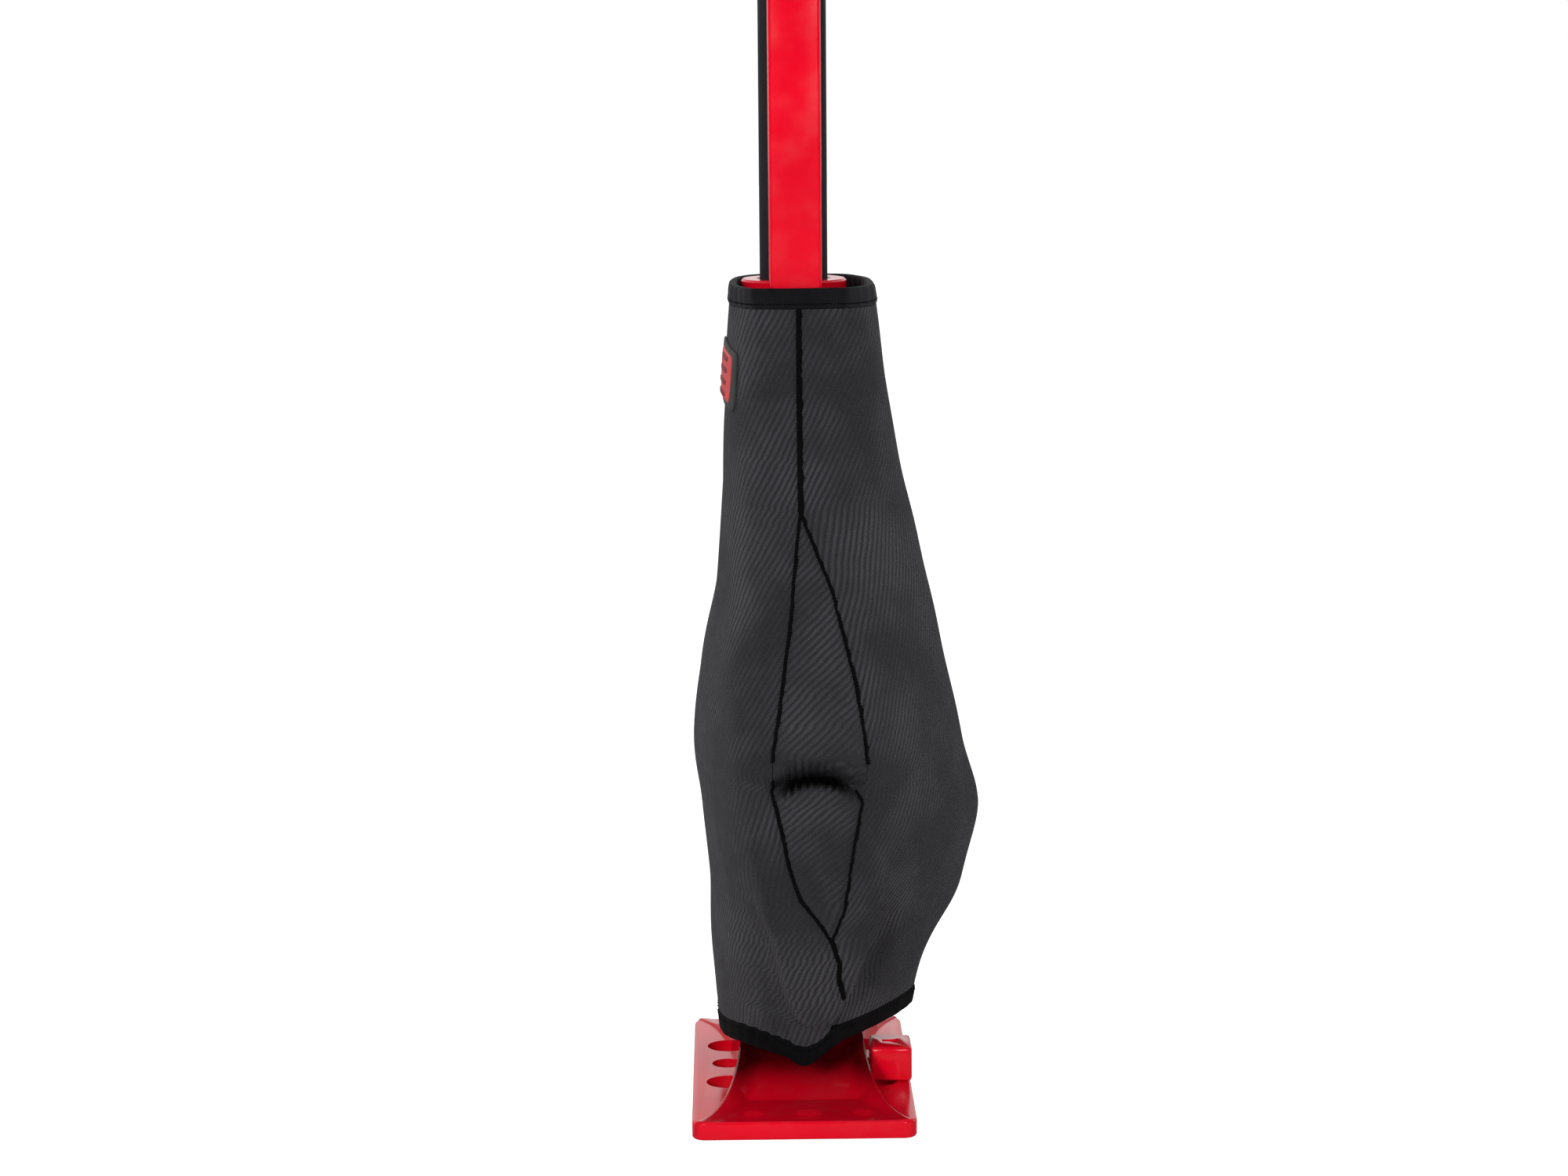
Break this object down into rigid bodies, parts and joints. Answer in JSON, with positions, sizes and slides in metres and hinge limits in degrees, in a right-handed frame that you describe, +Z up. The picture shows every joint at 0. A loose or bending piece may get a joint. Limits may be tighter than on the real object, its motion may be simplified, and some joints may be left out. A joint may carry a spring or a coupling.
{
  "type": "high-lift farm jack with cover",
  "caption": "Tall steel rack jack: holed I-beam bar on a flat base, climbing runners, hinged handle and a slip-on neoprene cover over the mechanism.",
  "frame": {"origin": "middle of the base plate's underside, which stands on the ground", "axes": "+Z up along the bar, -Y the way the lifting nose points, +X the side with the climbing pins and the reversing latch"},
  "size_m": [0.1369, 0.1869, 1.219],
  "materials": {
    "red_coat": "glossy powder coat",
    "black_coat": "satin black powder coat",
    "zinc_plate": "bright zinc plate",
    "neoprene": "ribbed textile over neoprene foam",
    "binding": "matt black binding tape",
    "red_rubber": "soft moulded rubber",
    "black_rubber": "matt moulded rubber"
  },
  "bodies": {
    "frame": {"base_plate": "red_coat", "wing_lug": "red_coat", "standard_bar": "red_coat", "base_pin": "zinc_plate", "base_pin_clip": "zinc_plate", "top_clamp": "red_coat", "top_clamp_bolt": "zinc_plate", "top_clamp_nut": "zinc_plate"},
    "large_runner_unit": {"large_runner": "red_coat", "cross_bolt": "zinc_plate", "cross_bolt_nut": "zinc_plate", "pin_spring_lower": "zinc_plate", "pin_cap_lower": "zinc_plate", "latch_pivot_pin": "zinc_plate", "latch_spring": "zinc_plate"},
    "small_runner_unit": {"small_runner": "red_coat", "pin_spring_upper": "zinc_plate", "pin_cap_upper": "zinc_plate"},
    "lower_pin": {"climbing_pin_lower": "zinc_plate"},
    "upper_pin": {"climbing_pin_upper": "zinc_plate"},
    "latch": {"reversing_latch": "zinc_plate"},
    "handle": {"handle_socket": "red_coat", "handle_tube": "black_coat", "handle_grip": "black_rubber", "socket_bolt": "zinc_plate", "socket_bolt_nut": "zinc_plate", "shear_bolt": "zinc_plate", "shear_bolt_nut": "zinc_plate"},
    "pitmans": {"pitman_left": "zinc_plate", "pitman_right": "zinc_plate", "pitman_bolt": "zinc_plate", "pitman_bolt_nut": "zinc_plate"},
    "keeper": {"handle_keeper": "black_coat"},
    "cover": {"cover_panel_left": "neoprene", "cover_panel_right": "neoprene", "cover_nose_gusset": "neoprene", "cover_top_binding": "binding", "cover_hem_binding": "binding", "cover_rear_closure": "binding", "cover_label": "red_rubber"}
  },
  "joints": [
    {"name": "runner_climb", "type": "slide", "parent": "frame", "child": "large_runner_unit", "axis": [0, 0, 1], "range_m": [0, 0.72]},
    {"name": "handle_swing", "type": "hinge", "parent": "large_runner_unit", "child": "handle", "pos_m": [0, 0.05, 0.13], "axis": [-1, 0, 0], "range_deg": [0, 66], "deforming": ["cover_panel_left", "cover_panel_right", "cover_nose_gusset", "cover_top_binding", "cover_hem_binding", "cover_rear_closure", "cover_label"]},
    {"name": "small_runner_slide", "type": "slide", "parent": "large_runner_unit", "child": "small_runner_unit", "axis": [0, 0, -1], "range_m": [0, 0.0343]},
    {"name": "pitman_swing", "type": "hinge", "parent": "handle", "child": "pitmans", "pos_m": [0, 0.06671, 0.14992], "axis": [1, 0, 0], "range_deg": [0, 79.2]},
    {"name": "lower_pin_pull", "type": "slide", "parent": "large_runner_unit", "child": "lower_pin", "axis": [1, 0, 0], "range_m": [0, 0.011], "stiffness_N_per_m": 500, "springref_m": -0.006, "deforming": ["pin_spring_lower"]},
    {"name": "upper_pin_pull", "type": "slide", "parent": "small_runner_unit", "child": "upper_pin", "axis": [1, 0, 0], "range_m": [0, 0.008], "stiffness_N_per_m": 500, "springref_m": -0.006, "deforming": ["pin_spring_upper"]},
    {"name": "latch_flip", "type": "hinge", "parent": "large_runner_unit", "child": "latch", "pos_m": [0.027, 0, 0.141], "axis": [0, 1, 0], "range_deg": [0, 40]},
    {"name": "keeper_slide", "type": "slide", "parent": "handle", "child": "keeper", "axis": [0, 0, 1], "range_m": [-0.3, 0.1]},
    {"name": "cover_lift", "type": "slide", "parent": "large_runner_unit", "child": "cover", "axis": [0, 0, 1], "range_m": [0, 0.44], "deforming": ["cover_panel_left", "cover_panel_right", "cover_nose_gusset", "cover_top_binding", "cover_hem_binding", "cover_rear_closure", "cover_label"]}
  ],
  "couplings": [
    {"joint": "small_runner_slide", "follows": "handle_swing", "m_per_rad": 0.0296},
    {"joint": "pitman_swing", "follows": "handle_swing", "ratio": 1.195}
  ]
}
